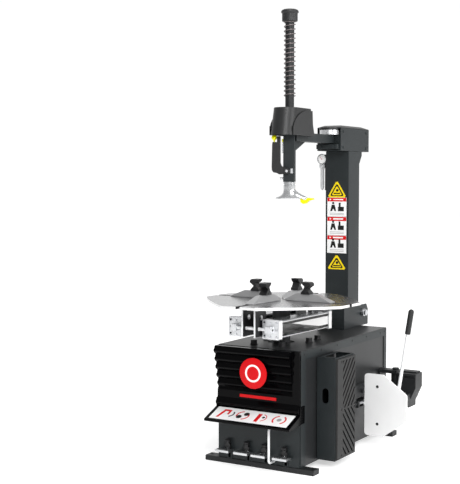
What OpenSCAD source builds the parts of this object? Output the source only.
// Swing-arm, tilt-back tyre changer with a pneumatic turntable and a side bead breaker.
// Millimetres. +X is the right-hand side seen by the operator, +Y the rear, +Z up.
// Origin: centre of the four floor anchor holes, at floor level.

/* [Cabinet] */
// Width of the cabinet over its side frames
cab_w = 415; // [412:1:418]
// Depth of the cabinet, front to back
cab_d = 905; // [900:1:910]
// Height of the cabinet's top above the floor
cab_top = 528; // [524:1:530]
// Thickness of the folded sheet metal
sheet = 3; // [2:0.5:3]
// Height of the two foot beams
foot_h = 23; // [20:1:23]
// Length of each foot beam
foot_len = 544; // [540:2:560]
// Width of each foot beam, front to back
foot_w = 55; // [50:1:56]
// Sideways distance between anchor holes
anchor_x = 504; // [490:2:510]
// Front-to-back distance between anchor holes
anchor_y = 846; // [842:1:848]
// Diameter of the anchor holes
anchor_d = 14; // [12:1:16]

/* [Turntable] */
// Height of the turntable's upper face
table_top = 720; // [716:1:724]
// Distance from the turntable's centre to the end of each arm
table_reach = 352; // [345:1:360]
// Half width of the flat end of each arm
arm_half = 88; // [80:1:95]
// How far each long edge of the table bulges
edge_bulge = 12; // [6:1:18]
// Thickness of the turntable plate
table_t = 12; // [10:1:13]
// How far the table stands turned at rest, in degrees
table_turn = -3; // [-4:1:0]
// Width of the four jaw slots
slot_w = 20; // [18:1:22]
// Radius at which the claws stand at rest
claw_r = 135; // [130:1:138]

/* [Column and arm] */
// Side of the square column tube
col_w = 125; // [122:1:126]
// Height of the column's upper end
col_top = 1397; // [1390:1:1400]
// Width of the horizontal arm
arm_w = 54; // [50:1:54]
// Height of the arm's underside
arm_z = 1432; // [1431:1:1434]
// Height of the arm's section, from underside to top
arm_h = 40; // [38:1:40]
// Distance of the tool shaft behind the origin
shaft_y = -168; // [-170:1:-166]
// Diameter of the tool shaft
shaft_d = 40; // [38:1:41]
// Height of the tool shaft's upper end
shaft_top = 2022; // [2010:1:2030]
// How far the tool is turned away from the arm, in degrees
tool_turn = 20; // [18:1:22]

/* [Bead breaker] */
// Height of the blade
blade_h = 292; // [284:2:296]
// Width of the blade
blade_w = 212; // [206:1:213]
// Thickness of the blade
blade_t = 10; // [8:1:11]
// Length of the control lever
lever_len = 420; // [380:5:440]

/* [Hidden] */
$fn = 48;

steel_dark = [0.23, 0.24, 0.245];
steel_black = [0.08, 0.08, 0.085];
silver = [0.75, 0.76, 0.77];
pale = [0.9, 0.9, 0.9];
yellow = [0.9, 0.85, 0.1];

half_w = cab_w / 2;
front_y = -anchor_y / 2 - 19;
back_y = front_y + cab_d;
inner_x = half_w - sheet;
table_y = -240;          // centre of the turntable
table_under = table_top - table_t;
gap = 0.3;               // air between pieces that move past each other
eps = 0.05;              // radial running clearance of a shaft in its bore

// ---------- shared shapes ----------

// box between two opposite corners
module box(lo, hi) { translate(lo) cube(hi - lo); }

// flat outline drawn in Y and Z, given thickness from x0 to x1
module slab_x(x0, x1, outline) {
  translate([x0, 0, 0]) rotate([90, 0, 90]) linear_extrude(x1 - x0) polygon(outline);
}

// flat outline drawn in X and Z, given thickness from y0 to y1
module slab_y(y0, y1, outline) {
  translate([0, y1, 0]) rotate([90, 0, 0]) linear_extrude(y1 - y0) polygon(outline);
}

// round bar along X, Y or Z between two values
module bar_x(x0, x1, y, z, r) { translate([x0, y, z]) rotate([0, 90, 0]) cylinder(h = x1 - x0, r = r); }
module bar_y(y0, y1, x, z, r) { translate([x, y0, z]) rotate([-90, 0, 0]) cylinder(h = y1 - y0, r = r); }
module bar_z(z0, z1, x, y, r) { translate([x, y, z0]) cylinder(h = z1 - z0, r = r); }

// hexagon bolt head pointing along +Z
module hex_head(across, h) { cylinder(h = h, d = across / cos(30), $fn = 6); }

// rectangle with rounded corners, centred
module round_rect(w, d, r) {
  square([w - 2 * r, d], center = true);
  square([w, d - 2 * r], center = true);
  for (sx = [-1, 1], sy = [-1, 1]) translate([sx * (w / 2 - r), sy * (d / 2 - r)]) circle(r);
}

module mirrored_x() { children(); mirror([1, 0, 0]) children(); }

// ---------- foot beams and cabinet ----------

module foot_beams() {
  end_block = 60;
  wall = 4;
  color(steel_black) for (sy = [-1, 1]) translate([0, sy * anchor_y / 2, 0]) difference() {
    box([-foot_len / 2, -foot_w / 2, 0], [foot_len / 2, foot_w / 2, foot_h]);
    box([-foot_len / 2 + end_block, -foot_w / 2 + wall, -1],
        [foot_len / 2 - end_block, foot_w / 2 - wall, foot_h - wall]);
    for (sx = [-1, 1]) bar_z(-1, foot_h + 1, sx * anchor_x / 2, 0, anchor_d / 2);
  }
}

// folded corner post at the right-hand side: a wide side flange and an end flange
module corner_post(y_outer, y_inner, end_y, z1) {
  box([inner_x, min(y_outer, y_inner), foot_h], [half_w, max(y_outer, y_inner), z1]);
  box([half_w - 30, end_y, foot_h], [inner_x, end_y + sheet, z1]);
}

module cabinet_frame() {
  rail_z = cab_top - 40;
  plate_z = cab_top - sheet;
  seam = 0.2;
  color(steel_dark) {
    mirrored_x() {
      corner_post(front_y, front_y + 43, front_y, rail_z - seam);
      corner_post(back_y, back_y - 30, back_y - sheet, rail_z - seam);
      box([inner_x, front_y, rail_z], [half_w, back_y, plate_z]);
    }
    for (y0 = [front_y, back_y - sheet])
      box([-inner_x + seam, y0, rail_z], [inner_x - seam, y0 + sheet, plate_z]);
    box([-inner_x + 1, front_y + 5, foot_h], [inner_x - 1, back_y - 5, foot_h + sheet]);
  }
}

module top_plate() {
  color(steel_dark) difference() {
    box([-half_w, front_y, cab_top - sheet], [half_w, back_y, cab_top]);
    bar_z(cab_top - sheet - 1, cab_top + 1, 0, table_y, 60);
  }
}

panel_x1 = inner_x - 0.2;
panel_x0 = panel_x1 - 2.3;
panel_z0 = foot_h + sheet + 0.5;
panel_z1 = cab_top - sheet - 0.5;

// window through which the bead breaker's yoke reaches outside
module yoke_window(x0, x1) { box([x0, 90, 190], [x1, 168, 234]); }

// right-hand panel, with the raised pocket that covers the yoke and guides its outer rod
module side_panel_right() {
  color(steel_dark) difference() {
    union() {
      box([panel_x0, front_y + 3.5, panel_z0], [panel_x1, back_y - 3.5, panel_z1]);
      difference() {
        box([panel_x1 - 1, 66, 150], [219, 196, 296]);
        box([panel_x0, 86, 186], [216, 192, 292]);
      }
      box([218, 68, 198], [241, 82, 226]);
      translate([219, 152, 262]) rotate([0, 90, 0]) hex_head(17, 7);
    }
    yoke_window(panel_x0 - 1, 230);
    bar_y(60, 90, 227, 212, 6 + eps);
  }
}

module side_panel_left() {
  louvre_count = 9;
  color(steel_dark) difference() {
    box([-panel_x1, front_y + 3.5, panel_z0], [-panel_x0, back_y - 3.5, panel_z1]);
    for (i = [0:louvre_count - 1]) for (y0 = [-60, 60])
      box([-panel_x1 - 1, y0, 300 + i * 16], [-panel_x0 + 1, y0 + 90, 305 + i * 16]);
  }
}

module back_panel() {
  louvre_count = 8;
  y1 = back_y - sheet - 0.2;
  color(steel_dark) difference() {
    box([-panel_x0 + 0.5, y1 - 2.3, panel_z0], [panel_x0 - 0.5, y1, panel_z1]);
    for (i = [0:louvre_count - 1]) for (x0 = [-150, 70])
      box([x0, y1 - 4, 110 + i * 16], [x0 + 80, y1 + 1, 115 + i * 16]);
  }
}

// gearbox bolts on the top plate and round-headed screws along the side frames
module fasteners() {
  screw_y = [-410, -250, -90, 70, 230, 390, 440];
  color(steel_black) {
    mirrored_x() for (p = [[71, -363], [110, -182], [104, -87]])
      translate([p[0], p[1], cab_top]) {
        cylinder(h = 4, r = 17);
        translate([0, 0, 4]) hex_head(28, 16);
      }
    mirrored_x() {
      for (y = screw_y) bar_x(half_w, half_w + 2, y, cab_top - 18, 4);
      for (z = [120, 280, 420]) bar_x(half_w, half_w + 2, back_y - 12, z, 4);
    }
  }
}

// ---------- front covers ----------

rib_count = 5;
rib_pitch = 37;
rib_top_z = cab_top - 23;
rib_out = 43;            // how far the top rib stands out
rib_fade = 7.7;          // how much less each rib below stands out
rib_r = 10;

// outline of the cover from its top edge down, as [distance out, height]
function cover_profile(ribs) = concat(
  [[0, cab_top - 2], [ribs ? rib_out - 12 : 14, cab_top - 2]],
  ribs ? [for (i = [0:rib_count - 1]) for (a = [60:-30:-90])
    a > -90
      ? [rib_out - i * rib_fade - rib_r + rib_r * cos(a), rib_top_z - i * rib_pitch + rib_r * sin(a)]
      : [max(rib_out - i * rib_fade - 17, 1), rib_top_z - i * rib_pitch - rib_pitch / 2]] : [],
  [[8, rib_top_z - 5 * rib_pitch + 10], [9, 296]],
  [for (a = [60:-30:-60]) [11 + 14 * cos(a), 273 + 14 * sin(a)]],
  [[6, 258], [0, 258]]);

// slab of a [distance out, height] outline in front of the cabinet
module cover_block(x0, x1, profile) {
  slab_x(x0, x1, [for (p = profile) [front_y - 0.3 - p[0], p[1]]]);
}

module ribbed_cover() {
  wall = 4;
  rib_right = half_w - 36;
  hollow = [[-1, cab_top - 6], [22, cab_top - 6], [22, 492], [2, 410], [-1, 410]];
  color(steel_black) difference() {
    union() {
      cover_block(-half_w, rib_right, cover_profile(true));
      cover_block(rib_right - 1, half_w, cover_profile(false));
    }
    cover_block(-half_w + wall, rib_right - wall, hollow);
  }
}

module badge_disc() {
  badge_z = 422;
  badge_y = front_y - 47;
  color("firebrick") {
    bar_y(badge_y - 5, badge_y, 0, badge_z, 67);
    bar_y(badge_y, badge_y + 18, 0, badge_z, 28);
  }
}

shelf_w = 424;
shelf_out = 114;         // how far the shelf stands out of the cabinet
shelf_back_z = 254;
shelf_front_z = 214;
shelf_tilt = atan((shelf_back_z - shelf_front_z) / (shelf_out - 10));

module shelf_body() {
  y0 = front_y - 0.3;
  wall = 4;
  color(steel_black) difference() {
    union() {
      slab_x(-shelf_w / 2, shelf_w / 2, [[y0, shelf_back_z], [y0 - 10, shelf_back_z],
        [y0 - shelf_out, shelf_front_z], [y0 - shelf_out, shelf_front_z - 9],
        [y0 - shelf_out + 6, shelf_front_z - 12], [y0, 214]]);
      mirrored_x() box([half_w + gap, y0 - 12, 215], [shelf_w / 2, y0 + 28, 291]);
    }
    slab_x(-shelf_w / 2 + wall, shelf_w / 2 - wall, [[y0 + 1, shelf_back_z - wall],
      [y0 - 10, shelf_back_z - wall], [y0 - shelf_out + wall, shelf_front_z - wall],
      [y0 - shelf_out + wall, shelf_front_z - 8], [y0 + 1, 218]]);
    box([-half_w - gap, y0 + 0.1, 200], [half_w + gap, y0 + 30, 300]);
  }
}

module shelf_face() {
  color(pale) translate([0, front_y - 0.3 - 10, shelf_back_z]) rotate([shelf_tilt, 0, 0])
    box([-186, -100, 0.1], [186, -8, 1.5]);
}

// ---------- pedals ----------

pedal_x = [-155, -60, 28, 134];      // middle of each tread
pedal_slot_x = [-146, -50, 39, 138]; // where each pedal arm comes through the plate
pedal_axis_y = -330;
pedal_axis_z = 90;
pedal_shaft_r = 8;

module pedal_plate() {
  color(steel_dark) difference() {
    union() {
      box([-half_w + 4, front_y - 4.4, foot_h + 1], [half_w - 4, front_y - 0.4, 204]);
      for (x = pedal_slot_x) box([x - 13, front_y - 7, foot_h + 1], [x + 13, front_y - 4, 110]);
    }
    for (x = pedal_slot_x) box([x - 6, front_y - 9, 27], [x + 6, front_y + 1, 102]);
  }
}

module guard_rod() {
  r = 5.2;
  bend = 14;
  x = 80;
  y_out = front_y - 53;
  y_in = front_y - 4.4;
  z0 = 40;
  z1 = 192;
  color(pale) {
    bar_z(z0 + bend, z1 - bend, x, y_out, r);
    for (end = [[z0, 1], [z1, -1]]) {
      bar_y(y_out + bend, y_in, x, end[0], r);
      translate([x, y_out + bend, end[0] + end[1] * bend]) rotate([0, -90, 0])
        rotate([0, 0, end[1] > 0 ? 180 : 270]) rotate_extrude(angle = 90) translate([bend, 0]) circle(r);
    }
  }
}

module pedal_valves() {
  color(silver) {
    difference() {
      box([-190, -300, 60], [180, -235, 128]);
      for (x = pedal_slot_x) box([x - 22, -301, 59], [x + 22, -288, 129]);
    }
    for (x = [-186, 176]) box([x, -262, foot_h + sheet], [x + 4, -240, 60]);
  }
  color(silver) bar_x(-panel_x0, panel_x0, pedal_axis_y, pedal_axis_z, pedal_shaft_r);
}

module pedal(i) {
  x = pedal_slot_x[i];
  xt = pedal_x[i];
  tread_y0 = front_y - 60;
  tread_y1 = front_y - 15;
  tread_z = 68;
  color(silver) difference() {
    union() {
      bar_x(x - 12, x + 12, pedal_axis_y, pedal_axis_z, 15);
      slab_x(x - 3, x + 3, [[-322, 102], [-322, 80], [-438, 56], [tread_y0 + 3, 58],
        [tread_y0 + 3, tread_z], [-438, 84]]);
      box([xt - 35, tread_y0, tread_z - 9], [xt + 35, tread_y1, tread_z + 1]);
      box([x - 13, tread_y1 - 8, tread_z - 9], [x + 13, tread_y1, 90]);
      box([x - 8, tread_y1 - 8, 88], [x + 8, tread_y1, 100]);
      bar_x(x - 11, x + 11, tread_y1 - 4, 104, 8);
      for (k = [0:5]) box([xt - 31 + k * 11.6, tread_y0 + 5, tread_z],
                          [xt - 27 + k * 11.6, tread_y1 - 12, tread_z + 3]);
    }
    bar_x(x - 20, x + 20, pedal_axis_y, pedal_axis_z, pedal_shaft_r + eps);
  }
}

// ---------- wheel rest ----------

rest_y0 = -295;
rest_y1 = -105;
rest_x1 = 298;
rest_z0 = 32;
rest_z1 = 484;

module rest_box() {
  wall = 4;
  slot_x = 249;
  color(steel_dark) difference() {
    box([half_w + gap, rest_y0, rest_z0], [rest_x1, rest_y1, rest_z1]);
    box([half_w - 1, rest_y0 + wall, rest_z0 + wall], [rest_x1 - wall, rest_y1 - wall, rest_z1 - wall]);
    for (z = [298, 334]) bar_y(rest_y0 - 1, rest_y0 + wall + 1, slot_x, z, 15);
    box([slot_x - 15, rest_y0 - 1, 298], [slot_x + 15, rest_y0 + wall + 1, 334]);
    box([half_w + 16, rest_y0 + 34, rest_z1 - wall - 1], [rest_x1 - 10, rest_y1 - 12, rest_z1 + 1]);
  }
}

module rest_pad() {
  mid_z = 254;
  pad_t = 9;
  pad_y = (rest_y0 + rest_y1) / 2;
  groove_count = 8;
  color(steel_black) difference() {
    box([rest_x1, rest_y0 + 5, rest_z0 + 6], [rest_x1 + pad_t, rest_y1 - 5, rest_z1 - 6]);
    for (s = [-1, 1]) intersection() {
      box([rest_x1 + pad_t - 6, rest_y0 + 58, s > 0 ? mid_z + 3 : rest_z0 + 16],
          [rest_x1 + pad_t + 1, rest_y1 - 12, s > 0 ? rest_z1 - 16 : mid_z - 3]);
      for (i = [-3:groove_count - 1])
        translate([rest_x1 + pad_t - 6, pad_y, mid_z + s * (26 + i * 37)]) rotate([s * 48, 0, 0])
          box([0, -150, -4.5], [8, 150, 4.5]);
    }
    for (y = [rest_y0 + 44], z = [rest_z0 + 20, mid_z, rest_z1 - 20])
      bar_x(rest_x1 + pad_t - 3, rest_x1 + pad_t + 1, y, z, 5);
  }
}

// ---------- table drive ----------

worm_y = -165;
worm_z = 425;
motor_y = 20;
motor_z = 400;
pulley_x0 = -165;
pulley_w = 30;
big_r = 80;
small_r = 34;
groove = 8;
spigot_r = 25;

module gearbox() {
  color(steel_dark) difference() {
    union() {
      box([-92, -340, 352], [92, -140, 498]);
      bar_z(498, cab_top - sheet, 0, table_y, 84);
      bar_x(-110, -92, worm_y, worm_z, 34);
      bar_x(92, 104, worm_y, worm_z, 34);
    }
    bar_z(440, cab_top, 0, table_y, spigot_r + eps);
    bar_x(-120, -30, worm_y, worm_z, 12 + eps);
  }
}

// pulley on a stub shaft along X, with one belt groove
module pulley(r, y, z, shaft_x1) {
  difference() {
    union() {
      bar_x(pulley_x0, pulley_x0 + pulley_w, y, z, r);
      bar_x(pulley_x0 - 4, shaft_x1, y, z, 12);
    }
    difference() {
      bar_x(pulley_x0 + 4, pulley_x0 + pulley_w - 4, y, z, r + 1);
      bar_x(pulley_x0 + 3, pulley_x0 + pulley_w - 3, y, z, r - groove);
    }
  }
}

module gearbox_pulley() { color(steel_dark) pulley(big_r, worm_y, worm_z, -32); }
module motor_pulley() { color(steel_dark) pulley(small_r, motor_y, motor_z, -98); }

module belt_loop(grow) {
  rotate([90, 0, 90]) linear_extrude(pulley_w - 10) hull() {
    translate([worm_y, worm_z]) circle(big_r - groove + grow);
    translate([motor_y, motor_z]) circle(small_r - groove + grow);
  }
}

module drive_belt() {
  color(steel_black) translate([pulley_x0 + 5, 0, 0]) difference() {
    belt_loop(7);
    translate([-1, 0, 0]) scale([1.2, 1, 1]) belt_loop(0.4);
  }
}

module drive_motor() {
  fin_count = 18;
  color(steel_dark) {
    difference() {
      union() {
        bar_x(-100, 110, motor_y, motor_z, 62);
        bar_x(-112, -100, motor_y, motor_z, 40);
        for (i = [0:fin_count - 1]) translate([0, motor_y, motor_z]) rotate([i * 360 / fin_count, 0, 0])
          box([-70, -1.5, 55], [80, 1.5, 70]);
        for (x = [-80, 30]) box([x, motor_y - 60, foot_h + sheet], [x + 10, motor_y + 60, motor_z - 30]);
      }
      bar_x(-120, -96, motor_y, motor_z, 12 + eps);
    }
  }
}

// ---------- turntable and jaws ----------

// places children in the table's own frame: centre at the origin, turned as at rest
module on_table() { translate([0, table_y, 0]) rotate([0, 0, table_turn]) children(); }

// one quarter of the table's outline: flat arm end, then a bulged long edge
function quarter(turn) = let (a = [table_reach, arm_half], b = [arm_half, table_reach], n = 8)
  [for (i = [0:n]) let (t = i / n, p = a + (b - a) * t, out = edge_bulge * 4 * t * (1 - t) / sqrt(2),
    q = p + [out, out]) [q[0] * cos(turn) - q[1] * sin(turn), q[0] * sin(turn) + q[1] * cos(turn)]];

module turntable() {
  outline = [for (k = [0:3]) each quarter(k * 90)];
  color(silver) on_table() difference() {
    translate([0, 0, table_under]) linear_extrude(table_t) polygon(outline);
    for (k = [0:3]) rotate([0, 0, k * 90])
      box([24, -slot_w / 2, table_under - 1], [table_reach + 1, slot_w / 2, table_top + 1]);
  }
}

module table_hub() {
  color(steel_dark) on_table() {
    bar_z(table_under - 14, table_under, 0, 0, 54);
    bar_z(cab_top + 2, table_under - 14, 0, 0, 40);
    bar_z(445, cab_top + 2, 0, 0, spigot_r);
  }
}

slide_h = 32;
jaw_half = 21.5;

slide_r0 = 18;           // inner and outer ends of a slide at rest
slide_r1 = 263;
under_z = table_under - 12;

// wedge-shaped jaw slide along +X, with its guide block and retainer under the table
module jaw_slide() {
  intersection() {
    slab_y(-jaw_half, jaw_half, [[slide_r0, table_top + gap], [80, table_top + slide_h],
      [194, table_top + slide_h], [slide_r1, table_top + 3], [slide_r1, table_top + gap]]);
    slab_x(0, 270, [[-jaw_half, table_top], [-jaw_half, table_top + 8], [-11, table_top + slide_h],
      [11, table_top + slide_h], [jaw_half, table_top + 8], [jaw_half, table_top]]);
    translate([0, 0, table_top]) linear_extrude(slide_h + 1)
      polygon([[slide_r0, 0], [slide_r0 + jaw_half, jaw_half], [slide_r1, jaw_half],
        [slide_r1, -jaw_half], [slide_r0 + jaw_half, -jaw_half]]);
  }
  box([78, -slot_w / 2 + 0.5, under_z], [214, slot_w / 2 - 0.5, table_top + 1]);
  box([78, -19, under_z], [214, 19, table_under - gap]);
}

// Z-shaped hardened claw that stands on the slide
module claw() {
  z0 = table_top + slide_h;
  slab_y(-19, 19, [[claw_r - 24, z0], [claw_r + 20, z0], [claw_r + 20, z0 + 6], [claw_r + 4, z0 + 22],
    [claw_r + 12, z0 + 30], [claw_r + 25, z0 + 38], [claw_r + 22, z0 + 50], [claw_r + 12, z0 + 54],
    [claw_r - 22, z0 + 54], [claw_r - 18, z0 + 44], [claw_r - 6, z0 + 34], [claw_r - 12, z0 + 20],
    [claw_r - 24, z0 + 8]]);
}

barrel_x = 88;
barrel_z = 615;
barrel_half = 43;
barrel_end = 228;        // half length of a clamping cylinder
cross_r = 242;           // distance of the cross rods from the table's centre
plate_x = 32;

// hanging link plates and cross rod that join both clamping cylinders to a jaw
module jaw_link() {
  half = plate_x + 4.5;
  box([184, -half, under_z - 5], [236, half, under_z + 0.5]);
  for (s = [-1, 1]) difference() {
    box([184, s * plate_x - 4.5, barrel_z - 36], [270, s * plate_x + 4.5, under_z - 1]);
    bar_y(s * plate_x - 6, s * plate_x + 6, 222, under_z - 34, 10);
  }
  bar_y(-barrel_x - 18, barrel_x + 18, cross_r, barrel_z, 7);
}

module jaw(turn, linked) {
  on_table() rotate([0, 0, turn]) {
    color(silver) jaw_slide();
    color(steel_black) claw();
    if (linked) color(pale) jaw_link();
  }
}

// clevis eye around a cross rod, from y0 to y1
module cross_eye(x, y0, y1, yc) {
  difference() {
    box([x - 14, y0, barrel_z - 14], [x + 14, y1, barrel_z + 14]);
    bar_x(x - 20, x + 20, yc, barrel_z, 7 + eps);
  }
}

module clamp_barrels() {
  cap = 26;
  color(silver) on_table() for (s = [-1, 1]) {
    cross_eye(s * barrel_x, -cross_r - 13, -barrel_end + 1, -cross_r);
    translate([s * barrel_x, 0, barrel_z]) difference() {
      union() {
        rotate([90, 0, 0]) translate([0, 0, -barrel_end]) linear_extrude(2 * barrel_end)
          round_rect(76, 76, 6);
        for (y0 = [-barrel_end, barrel_end - cap]) translate([0, y0 + cap, 0]) rotate([90, 0, 0])
          linear_extrude(cap) round_rect(2 * barrel_half, 2 * barrel_half, 5);
      }
      bar_y(-barrel_end + cap, barrel_end - cap, 0, 0, 32);
      bar_y(barrel_end - cap - 1, barrel_end + 1, 0, 0, 10 + eps);
      for (g = [0, 180]) rotate([0, g, 0]) for (z = [-30, 19])
        box([34.5, -barrel_end + cap + 0.5, z], [40, barrel_end - cap - 0.5, z + 11]);
      for (g = [0, 90, 180, 270]) rotate([0, g, 0]) {
        bar_y(-barrel_end - 1, -barrel_end + 8, 31, 31, 6);
        bar_y(barrel_end - 8, barrel_end + 1, 31, 31, 6);
        box([24, -barrel_end - 1, -5], [34, -barrel_end + 6, 5]);
      }
    }
  }
}

module clamp_rods() {
  color(pale) on_table() for (s = [-1, 1]) {
    bar_y(-barrel_end + 30, cross_r - 12, s * barrel_x, barrel_z, 10);
    bar_y(-barrel_end + 30, -barrel_end + 50, s * barrel_x, barrel_z, 32 - eps);
    cross_eye(s * barrel_x, cross_r - 13, cross_r + 13, cross_r);
  }
}

// ---------- column ----------

pin_y = 470;
pin_z = 594;
pin_r = 12.5;
col_y0 = 323;
col_y1 = col_y0 + col_w;
base_half = 72;
lever_r = 50;            // from the hinge pin to the tilting cylinder's bolt
lever_a = 12.5;
lever_y = pin_y + lever_r * cos(lever_a);
lever_z = pin_z + lever_r * sin(lever_a);

module column_base() {
  wall = 6;
  y0 = 262;
  top_z = 633;
  color(steel_dark) difference() {
    union() {
      mirrored_x() slab_x(base_half - wall, base_half,
        [[y0, cab_top], [540, cab_top], [540, 606], [522, top_z], [y0, top_z]]);
      box([-base_half + 1, y0, cab_top], [base_half - 1, y0 + wall, top_z]);
      box([-base_half + 1, y0 + 1, cab_top], [base_half - 1, back_y, cab_top + wall]);
    }
    bar_x(-base_half - 1, base_half + 1, pin_y, pin_z, pin_r + eps);
  }
}

module tilt_pin() {
  color(silver) {
    bar_x(-base_half - gap, base_half + gap, pin_y, pin_z, pin_r);
    bar_x(-84, -base_half - gap, pin_y, pin_z, 16);
    bar_x(base_half + gap, 86, pin_y, pin_z, 19);
    translate([86, pin_y, pin_z]) rotate([0, 90, 0]) hex_head(28, 11);
  }
}

module tilt_cylinder() {
  z0 = 170;
  z1 = 515;
  color(steel_black) difference() {
    union() {
      bar_z(z0, z1, 0, lever_y, 37);
      for (z = [z0, z1 - 24]) box([-40, lever_y - 40, z], [40, lever_y + 40, z + 24]);
      for (z = [z0, z1 - 30]) {
        box([-195, back_y, z], [195, back_y + 6, z + 30]);
        box([-30, back_y + 5, z], [30, lever_y - 39, z + 24]);
      }
    }
    bar_z(z0 + 24, z1 - 24, 0, lever_y, 32);
    bar_z(z1 - 25, z1 + 1, 0, lever_y, 10 + eps);
  }
}

module tilt_rod() {
  color(silver) difference() {
    union() {
      bar_z(380, lever_z - 10, 0, lever_y, 10);
      bar_z(380, 402, 0, lever_y, 32 - eps);
      bar_x(-20, 20, lever_y, lever_z, 19);
    }
    bar_x(-21, 21, lever_y, lever_z, 10);
  }
}

module column_tube() {
  wall = 5;
  half = col_w / 2;
  foot_z = 536;
  color(steel_dark) difference() {
    union() {
      difference() {
        box([-half, col_y0, foot_z], [half, col_y1, col_top]);
        box([-half + wall, col_y0 + wall, foot_z + wall], [half - wall, col_y1 - wall, col_top + 1]);
      }
      mirrored_x() {
        bar_x(44, 58, pin_y, pin_z, 26);
        bar_x(44, 58, lever_y, lever_z, 14);
        slab_x(44, 58, [[col_y1 - 1, 560], [pin_y, 568], [lever_y + 3, lever_z - 13.6],
          [lever_y + 2, lever_z + 13.8], [pin_y + 6, pin_z + 25], [col_y1 - 1, 634]]);
      }
      bar_x(-50, 50, lever_y, lever_z, 8);
    }
    bar_x(-base_half, base_half, pin_y, pin_z, pin_r + eps);
  }
}

decal_half = 52;
decal_y = col_y0 - 0.6;

module column_decals() {
  seam = 0.8;
  bands = [[1170, 1151], [1151, 1076], [1076, 1055], [1055, 984], [984, 963], [963, 897]];
  color(pale) {
    for (b = bands)
      box([-decal_half, decal_y, b[1] + seam], [decal_half, col_y0, b[0]]);
    slab_y(decal_y, col_y0, [[-decal_half, 1170 + seam], [decal_half, 1170 + seam], [0, 1256]]);
    slab_y(decal_y, col_y0, [[-decal_half, 817], [decal_half, 817], [0, 893]]);
  }
}

module air_regulator() {
  x = -89;
  y = 352;
  z = 1360;
  color(steel_black) {
    box([-col_w / 2 - 12, y - 14, z - 22], [-col_w / 2, y + 14, z + 22]);
    bar_y(y - 22, y + 12, x, z, 26);
    bar_z(1316, z - 20, x - 6, y, 15);
    bar_z(1206, 1322, x - 7, y, 9);
    bar_z(1206, z - 20, x + 13, y, 4);
  }
}

// ---------- head ----------

head_half = 63;
head_y0 = 232;
head_y1 = 556;
head_z1 = 1507;

module head_box() {
  wall = 4;
  color(steel_dark) {
    difference() {
      box([-head_half, head_y0, col_top], [head_half, head_y1, head_z1]);
      box([-head_half + wall, head_y0 - 1, col_top + wall],
          [head_half - wall, head_y1 + 1, head_z1 - wall]);
    }
    for (y0 = [head_y0 + 4, head_y1 - 30]) {
      mirrored_x() box([arm_w / 2 + gap, y0, arm_z], [head_half - wall + 0.5, y0 + 26, arm_z + arm_h]);
      box([-head_half + wall - 0.5, y0, col_top + wall - 0.5], [head_half - wall + 0.5, y0 + 26, arm_z - gap]);
    }
    box([-head_half + wall - 0.5, head_y1 - 30, arm_z + arm_h + gap],
        [head_half - wall + 0.5, head_y1 - 4, head_z1 - wall + 0.5]);
    box([-55, head_y0 - 27, 1405], [55, head_y0 + 5, 1427]);
    slab_x(-60, 60, [[col_y1, 1330], [col_y1 + 32, 1378], [col_y1 + 32, col_top + 1], [col_y1, col_top + 1]]);
    mirrored_x() {
      translate([34, head_y0 - 27, 1416]) rotate([90, 0, 0]) hex_head(13, 5);
      for (y = [262, 524], z = [1414, 1490]) bar_x(head_half - 0.5, head_half + 3, y, z, 6);
    }
  }
}

module head_cover() {
  cap_z = 1498;
  color(steel_black) {
    hull() {
      box([-head_half, head_y0, head_z1], [head_half, head_y1, head_z1 + 2]);
      box([-44, head_y0 + 40, head_z1], [44, head_y1 - 55, head_z1 + 13]);
    }
    difference() {
      bar_z(cap_z, head_z1 + 2, 0, 238, 50);
      box([-60, head_y0, cap_z - 1], [60, 300, head_z1 + 3]);
    }
  }
}

module lock_cylinder() {
  color(silver) {
    bar_z(arm_z + arm_h + 1.5, 1497, 0, 238, 47.5);
    bar_z(1496, head_z1 - 4, 0, 258, 22);
  }
}

// ---------- arm ----------

sleeve_half = 25;
sleeve_z0 = 1248;
sleeve_z1 = 1575;

// places children in the tool's own frame: shaft on the Z axis, turned away from the arm
module on_tool() { translate([0, shaft_y, 0]) rotate([0, 0, tool_turn]) children(); }

module arm_tube() {
  wall = 4;
  half = arm_w / 2;
  y1 = 550;
  color(steel_dark) difference() {
    union() {
      difference() {
        box([-half, -150, arm_z], [half, y1, arm_z + arm_h]);
        box([-half + wall, -96, arm_z + wall], [half - wall, y1 + 1, arm_z + arm_h - wall]);
      }
      slab_x(-5, 5, [[-142, 1378], [-23, arm_z], [-23, arm_z + 1], [-142, arm_z + 1]]);
    }
    on_tool() box([-sleeve_half, -sleeve_half, 1300], [sleeve_half, sleeve_half, 1600]);
  }
}

module guide_sleeve() {
  color(steel_dark) on_tool() difference() {
    union() {
      box([-sleeve_half, -sleeve_half, sleeve_z0], [sleeve_half, sleeve_half, sleeve_z1]);
      box([9, -sleeve_half - 3, 1286], [19, -sleeve_half + 1, 1307]);
      bar_z(1376, 1440, -sleeve_half - 3, -21, 3.3);
      bar_x(-sleeve_half - 17, -sleeve_half + 1, -6, 1263, 5.5);
    }
    bar_z(sleeve_z0 - 1, sleeve_z1 + 1, 0, 0, shaft_d / 2 + eps);
  }
}

housing_z0 = 1456;
housing_z1 = 1580;

// one level of the housing: round nose joined to a straight back
module housing_slice(z, nose_y, nose_r, tail_y) {
  translate([0, 0, z]) linear_extrude(0.1) {
    translate([0, nose_y]) circle(nose_r, $fn = 40);
    translate([-nose_r, nose_y]) square([2 * nose_r, tail_y - nose_y]);
  }
}

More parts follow.
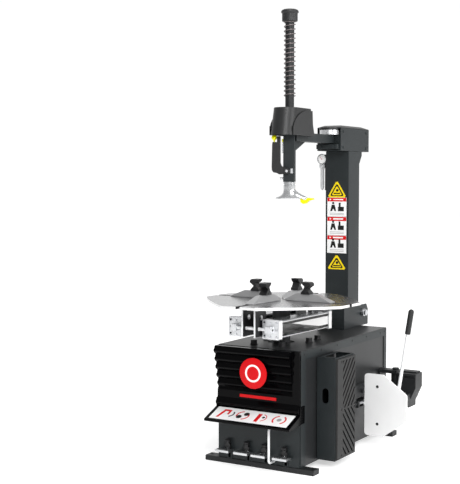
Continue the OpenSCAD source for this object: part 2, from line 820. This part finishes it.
module arm_housing() {
  wall = 3;
  side = 58;
  color(steel_dark) difference() {
    union() {
      hull() {
        housing_slice(housing_z0, -220, 60, -36);
        housing_slice(housing_z1, -200, 55, -66);
      }
      mirrored_x() slab_x(side, side + 3.5, [[-245, housing_z0], [-245, 1498],
        for (a = [170:-12:98]) [-92 + 153 * cos(a) + 0.5, 1474 + 97 * sin(a)],
        [-60, 1570], [-52, housing_z0]]);
    }
    hull() {
      housing_slice(housing_z0 - 1, -220, 60 - wall, -36 - wall);
      housing_slice(housing_z1 - wall, -200, 55 - wall, -66 - wall);
    }
    on_tool() bar_z(housing_z1 - 10, housing_z1 + 1, 0, 0, shaft_d / 2 + 8);
    box([-arm_w / 2 - gap, -80, housing_z0 - 1], [arm_w / 2 + gap, -20, arm_z + arm_h + gap]);
  }
  color(steel_dark) mirrored_x() box([arm_w / 2, -130, housing_z0], [side, -118, housing_z0 + 16]);
}

grip_y0 = -47;
button_x = -64;

module lock_handle() {
  color(steel_black) on_tool() difference() {
    union() {
      slab_y(grip_y0, -sleeve_half, [[-72, 1416], [-70, 1426], [-50, 1426], [-50, 1452],
        [-36, 1452], [-36, 1334], [-32, 1322], [-24, 1314], [-2, 1308], [6, 1302], [6, 1290],
        [-4, 1284], [-40, 1281], [-50, 1287], [-66, 1290], [-73, 1300], [-74, 1314]]);
      bar_y(grip_y0 - 4, grip_y0 + 1, -5, 1296, 12.5);
      bar_y(grip_y0 - 8, grip_y0, -5, 1296, 6);
    }
    bar_z(1404, 1430, button_x, -36, 4 + eps);
  }
}

module lock_button() {
  color(yellow) on_tool() {
    translate([button_x, -36, 1446]) sphere(12.5);
    bar_z(1412, 1440, button_x, -36, 4);
  }
}

// ---------- tool ----------

head_z = 1248;           // upper face of the mounting tool's collar
cap_z = shaft_top - 56;

module tool_shaft() {
  color(silver) on_tool() {
    bar_z(head_z - 32, cap_z + 2, 0, 0, shaft_d / 2);
    difference() {
      translate([0, 0, cap_z]) rotate_extrude()
        polygon([[0, 0], [40, 0], [40, 50], [36, 56], [0, 56]]);
      for (a = [0:3]) rotate([0, 0, 45 + a * 90]) bar_z(cap_z + 44, cap_z + 60, 27, 0, 3.2);
    }
  }
}

coil_r = 24.4;
wire_r = 2.7;
coil_z0 = 1634;
coil_turns = 17;
coil_sides = 6;
coil_steps = 12;

function coil_point(i, j) = let (a = i * 360 / coil_steps, b = j * 360 / coil_sides,
  r = coil_r + wire_r * cos(b), rise = (cap_z - 4 - coil_z0) / (coil_turns * coil_steps))
  [r * cos(a), r * sin(a), coil_z0 + i * rise + wire_r * sin(b)];

module tool_spring() {
  n = coil_turns * coil_steps;
  points = [for (i = [0:n]) for (j = [0:coil_sides - 1]) coil_point(i, j)];
  walls = [for (i = [0:n - 1]) for (j = [0:coil_sides - 1])
    [i * coil_sides + j, i * coil_sides + (j + 1) % coil_sides,
     (i + 1) * coil_sides + (j + 1) % coil_sides, (i + 1) * coil_sides + j]];
  ends = [[for (j = [coil_sides - 1:-1:0]) j], [for (j = [0:coil_sides - 1]) n * coil_sides + j]];
  color(steel_black) on_tool() polyhedron(points, concat(walls, ends));
}

// curved footprint of the mounting head, following the edge of a rim in front of it
module shoe_ring(r0, r1) {
  translate([8, -223, 1140]) difference() {
    cylinder(h = 110, r = r1);
    translate([0, 0, -1]) cylinder(h = 112, r = r0);
  }
}

wing_under = [[52, 1173], [76, 1164], [86, 1176]];

module duck_head() {
  color(silver) on_tool() difference() {
    union() {
      bar_z(head_z - 38, head_z, 0, 0, 27);
      intersection() {
        shoe_ring(203, 243);
        slab_y(-110, 40, [[-25, head_z - 12], [-27, 1210], [-30, 1197], [-38, 1187], [-50, 1181],
          [-61, 1177], [-61, 1172], [-44, 1170], [-8, 1172], [22, 1174], wing_under[0], wing_under[1],
          wing_under[2], [58, 1190], [36, 1204], [25, head_z - 12]]);
      }
    }
    bar_z(head_z - 32, head_z + 1, 0, 0, shaft_d / 2);
  }
}

module duck_insert() {
  color(yellow) on_tool() intersection() {
    shoe_ring(203, 243);
    slab_y(-110, 40, [wing_under[0], wing_under[1], wing_under[2], [112, 1174], [116, 1168],
      [96, 1163], [82, 1151], [66, 1148], [54, 1156]]);
  }
}

// ---------- bead breaker ----------

hinge_x = 285;
hinge_y = 400;
hinge_r = 12;
rod_x = 227;
rod_z = 212;
rod_end_y = 427;
cyl_x = 122;
cover_x1 = 219;

module breaker_cylinder() {
  color(steel_black) difference() {
    union() {
      bar_y(-110, 78, cyl_x, rod_z, 70);
      for (y = [-116, 72]) bar_y(y, y + 12, cyl_x, rod_z, 76);
      for (y = [-114, 76]) box([cyl_x - 40, y, foot_h + sheet], [cyl_x + 40, y + 6, rod_z - 40]);
    }
    bar_y(-104, 72, cyl_x, rod_z, 66);
    bar_y(71, 85, cyl_x, rod_z, 12 + eps);
  }
}

module breaker_rod() {
  color(silver) {
    bar_y(0, 150, cyl_x, rod_z, 12);
    bar_y(0, 16, cyl_x, rod_z, 66 - eps);
    box([cyl_x - 14, 145, rod_z - 12], [rod_x + 4, 157, rod_z + 12]);
    bar_y(62, rod_end_y - 10, rod_x, rod_z, 6);
    difference() {
      box([rod_x - 14, rod_end_y - 12, rod_z - 8], [rod_x + 9, rod_end_y + 12, rod_z + 8]);
      for (x = [rod_x - 6.5, rod_x]) bar_z(rod_z - 9, rod_z + 9, x, rod_end_y, 6);
      box([rod_x - 6.5, rod_end_y - 6, rod_z - 9], [rod_x, rod_end_y + 6, rod_z + 9]);
    }
  }
}

module breaker_bracket() {
  x1 = 300;
  color(steel_dark) {
    for (z0 = [236, 316.4]) box([half_w + 0.3, hinge_y - 28, z0], [x1, hinge_y + 28, z0 + 16]);
    box([half_w, hinge_y - 28, 236], [half_w + 6, hinge_y + 28, 332.4]);
    bar_z(237, 340, hinge_x, hinge_y, hinge_r);
    translate([hinge_x, hinge_y, 332.4]) hex_head(30, 10);
  }
}

tube_x0 = 335;
tube_x1 = 385;
swivel_x = 342;
swivel_y = 165;
lug_x = hinge_x - 58;
lug_y = hinge_y + 27;

module breaker_arm() {
  pin_x = 370;
  color(steel_dark) difference() {
    union() {
      bar_z(252.4, 316, hinge_x, hinge_y, 22);
      box([hinge_x, hinge_y - 20, 254], [330, hinge_y + 20, 314]);
      box([320, 375, 240], [402, 425, 335]);
      slab_y(345, 430, [[320, 328], [410, 328], [410, 262], [378, 190], [378, 165], [320, 165]]);
      box([tube_x0, 184, 175], [tube_x1, 347, 235]);
      for (z = [175, 224]) {
        bar_z(z, z + 11, swivel_x, swivel_y, 12.5);
        box([swivel_x - 12, swivel_y, z], [tube_x1, 200, z + 11]);
      }
      bar_z(170, 240, swivel_x, swivel_y, 8);
      box([hinge_x - 10, hinge_y - 12, 222], [330, hinge_y + 24, 235]);
      bar_z(222, 235, lug_x, lug_y, 11);
      lug_plate();
      bar_z(203, 224, lug_x, lug_y, 5);
    }
    bar_z(236, 330, hinge_x, hinge_y, hinge_r + eps);
    bar_y(344, 431, pin_x, 215, 6 + eps);
    box([328, 344, 306], [402, 352, 316]);
  }
}

// flat link between the lug and the arm, below the hinge bracket
module lug_plate() {
  translate([0, 0, 222]) linear_extrude(13)
    polygon([[lug_x, lug_y + 11], [lug_x, lug_y - 11], [hinge_x, hinge_y - 12], [hinge_x, hinge_y + 24]]);
}

module pull_pin() {
  color(silver) {
    bar_y(352, 452, 370, 215, 6);
    translate([370, 452 + 13, 215]) rotate([0, 90, 0]) rotate_extrude() translate([13, 0]) circle(2.5);
  }
}

blade_y0 = 135;
blade_y1 = blade_y0 + blade_t;
blade_x0 = 240;
blade_mid_z = 205;

module blade_holder() {
  color(steel_dark) difference() {
    union() {
      box([swivel_x - 11, blade_y1 + 2, 186.4], [swivel_x + 11, swivel_y + 12, 223.6]);
      box([292, blade_y1, 105], [380, blade_y1 + 6, 305]);
    }
    bar_z(180, 230, swivel_x, swivel_y, 8 + eps);
  }
}

module blade() {
  h = blade_h / 2;
  r = 16;
  x1 = blade_x0 + blade_w;
  half = [for (a = [180:-15:90]) [blade_x0 + r + r * cos(a), h - r + r * sin(a)]];
  upper = concat(half, [[334, h], [x1 - 8, 66], [x1, 56]]);
  lower = [for (i = [len(upper) - 1:-1:0]) [upper[i][0], -upper[i][1]]];
  color(pale) difference() {
    translate([0, blade_y1, blade_mid_z]) rotate([90, 0, 0]) linear_extrude(blade_t)
      polygon(concat(upper, lower));
    for (s = [-1, 1]) bar_y(blade_y0 - 1, blade_y0 + 4, 305, blade_mid_z + s * 88, 6);
  }
}

module control_lever() {
  foot_x = 398;
  foot_z = 250;
  lean = 9;
  y = blade_y1 + 10;
  color(pale) {
    bar_y(blade_y1, y + 4, foot_x + 4, foot_z + 24, 13);
    translate([foot_x, y, foot_z]) rotate([0, lean, 0]) {
      cylinder(h = lever_len - 20, r = 8);
      translate([0, 0, lever_len - 118]) cylinder(h = 104, r = 13);
      translate([0, 0, lever_len - 14]) sphere(13);
    }
  }
}

// ---------- all sub-parts ----------

foot_beams();
cabinet_frame();
top_plate();
side_panel_left();
side_panel_right();
back_panel();
fasteners();
ribbed_cover();
badge_disc();
shelf_body();
shelf_face();
pedal_plate();
guard_rod();
pedal_valves();
pedal(0);  // pedal_1
pedal(1);  // pedal_2
pedal(2);  // pedal_3
pedal(3);  // pedal_4
rest_box();
rest_pad();
gearbox();
drive_motor();
drive_belt();
gearbox_pulley();
motor_pulley();
table_hub();
turntable();
jaw(-90, true);  // jaw_front
jaw(90, true);  // jaw_rear
jaw(180, false);  // jaw_left
jaw(0, false);  // jaw_right
clamp_barrels();
clamp_rods();
column_base();
tilt_pin();
tilt_cylinder();
tilt_rod();
column_tube();
head_box();
head_cover();
lock_cylinder();
column_decals();
air_regulator();
arm_tube();
arm_housing();
guide_sleeve();
lock_handle();
lock_button();
tool_shaft();
tool_spring();
duck_head();
duck_insert();
breaker_cylinder();
breaker_bracket();
breaker_rod();
breaker_arm();
pull_pin();
blade_holder();
blade();
control_lever();
